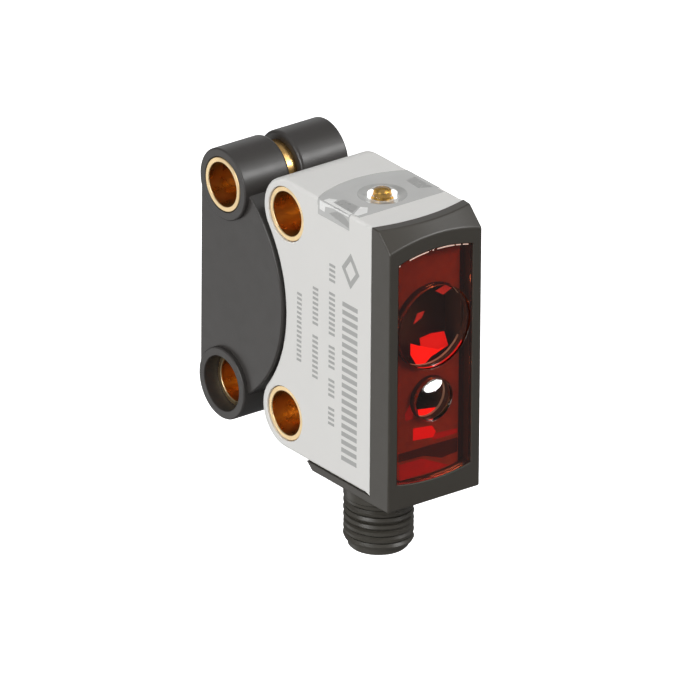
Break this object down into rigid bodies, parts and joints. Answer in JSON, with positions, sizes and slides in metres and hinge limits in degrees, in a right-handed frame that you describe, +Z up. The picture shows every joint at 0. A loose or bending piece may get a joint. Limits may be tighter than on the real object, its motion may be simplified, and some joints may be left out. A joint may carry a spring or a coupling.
{
  "type": "photoelectric sensor",
  "caption": "Subminiature laser photoelectric sensor: red front window, teach button under a smoked pane, brass mounting sleeves, threaded plug and a black rear saddle adapter.",
  "frame": {"origin": "middle of the flat right-hand side of the housing, halfway between the two sleeve holes in height and halfway from the front frame to the hole line: the face that is screwed to a bracket", "axes": "+X is the outward normal of the mounting side, -Y is the way the window and its beam look, +Z is up, away from the plug"},
  "size_m": [0.0091, 0.0216, 0.0269],
  "materials": {
    "housing_grey": "fine satin moulded ABS/PC, light grey",
    "frame_black": "satin moulded black polymer",
    "window_red": "polished deep red transparent PMMA",
    "lens_clear": "polished clear polycarbonate",
    "optics_black": "matt black light-absorbing polymer",
    "filter_grey": "laminated polarising film on glass",
    "laser_can": "gold-plated package and leads",
    "spring_steel": "stamped tinned steel",
    "chip_black": "moulded epoxy package",
    "ceramic_tan": "sintered ceramic body",
    "board_green": "solder-masked glass epoxy laminate",
    "led_green": "diffused epoxy",
    "led_yellow": "diffused epoxy",
    "gold_contact": "gold-plated snap dome and contacts",
    "button_clear": "clear moulded polycarbonate",
    "pane_smoke": "translucent light grey polycarbonate",
    "seal_rubber": "moulded nitrile rubber",
    "plug_black": "glass-filled polyamide with a fine thread",
    "sleeve_brass": "turned brass, bright rims",
    "adapter_black": "satin glass-filled polyamide, charcoal"
  },
  "bodies": {
    "sensor": {"housing": "housing_grey", "front_frame": "frame_black", "front_window": "window_red", "receiver_lens": "lens_clear", "emitter_lens": "lens_clear", "receiver_prism": "lens_clear", "optics_block": "optics_black", "polarising_filter": "filter_grey", "laser_diode": "laser_can", "laser_lead_1": "laser_can", "laser_lead_2": "laser_can", "laser_lead_3": "laser_can", "laser_retainer": "spring_steel", "shield_can": "spring_steel", "photodiode": "chip_black", "processor_chip": "chip_black", "driver_chip": "chip_black", "switch_base": "chip_black", "capacitor_1": "ceramic_tan", "capacitor_2": "ceramic_tan", "capacitor_3": "ceramic_tan", "main_board": "board_green", "top_board": "board_green", "status_led_green": "led_green", "status_led_yellow": "led_yellow", "switch_dome": "gold_contact", "contact_pin_1": "gold_contact", "contact_pin_2": "gold_contact", "contact_pin_3": "gold_contact", "contact_pin_4": "gold_contact", "status_window": "pane_smoke", "button_seal": "seal_rubber", "connector_seal": "seal_rubber", "connector_body": "plug_black", "contact_carrier": "plug_black", "upper_sleeve": "sleeve_brass", "lower_sleeve": "sleeve_brass"},
    "button": {"teach_button": "button_clear"},
    "adapter": {"adapter_body": "adapter_black", "adapter_upper_sleeve": "sleeve_brass", "adapter_lower_sleeve": "sleeve_brass"}
  },
  "joints": [
    {"name": "button_press", "type": "slide", "parent": "sensor", "child": "button", "axis": [0, 0, -1], "range_m": [0, 0.00025], "stiffness_N_per_m": 400, "springref_m": -0.0005},
    {"name": "adapter_release", "type": "slide", "parent": "sensor", "child": "adapter", "axis": [0, 1, 0], "range_m": [0, 0.012]}
  ]
}
